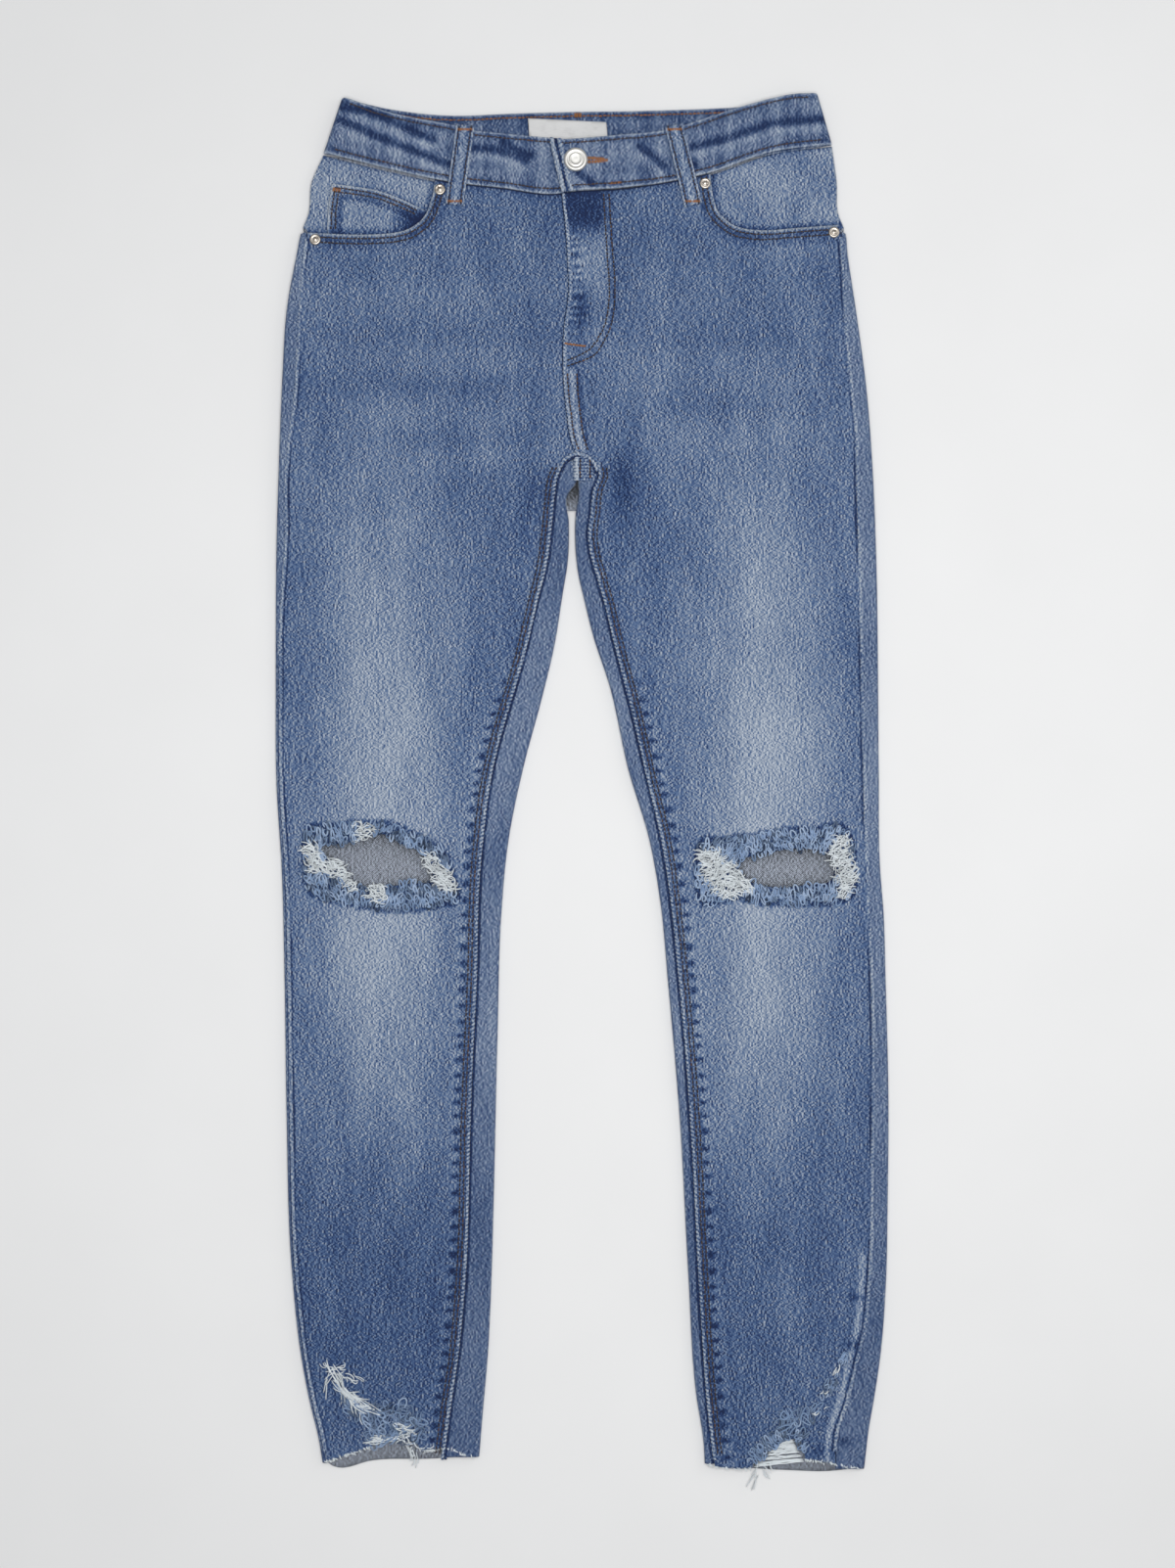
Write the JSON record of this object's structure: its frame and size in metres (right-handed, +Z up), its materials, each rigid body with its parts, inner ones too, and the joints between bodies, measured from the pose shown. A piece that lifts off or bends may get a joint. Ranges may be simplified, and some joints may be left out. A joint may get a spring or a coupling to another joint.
{
  "type": "ripped jeans",
  "caption": "Skinny five-pocket stretch-denim jeans laid flat, front up, with ripped and frayed knees and cut-off raw hems.",
  "frame": {"origin": "under the middle of the jeans' outline, on the surface they lie on", "axes": "+Y from the hems to the waist, +X from the wearer's right to the wearer's left, +Z up from the surface"},
  "size_m": [0.439, 0.9868, 0.0136],
  "materials": {
    "denim": "mid-blue stonewashed stretch twill, faded on the thighs and knees",
    "frayed_thread": "loose white weft and pale blue warp threads",
    "label_satin": "bare white woven satin",
    "zip_brass": "dull metal zip on a tape",
    "button_nickel": "brushed nickel plate",
    "rivet_copper": "worn silver and copper plate"
  },
  "bodies": {
    "root": {"front_right": "denim", "front_left": "denim", "back_right": "denim", "back_left": "denim", "yoke_right": "denim", "yoke_left": "denim", "pocket_facing_right": "denim", "pocket_facing_left": "denim", "coin_pocket": "denim", "waistband_right": "denim", "waistband_left": "denim", "loop_front_right": "denim", "loop_front_left": "denim", "loop_back_centre": "denim", "loop_back_right": "denim", "loop_back_left": "denim", "back_pocket_right": "denim", "back_pocket_left": "denim", "knee_fray_right": "frayed_thread", "knee_fray_left": "frayed_thread", "hem_fray_right": "frayed_thread", "hem_fray_left": "frayed_thread", "label": "label_satin", "fly_zip": "zip_brass", "button": "button_nickel", "rivet_right_top": "rivet_copper", "rivet_right_side": "rivet_copper", "rivet_left_top": "rivet_copper", "rivet_left_side": "rivet_copper"}
  },
  "joints": []
}
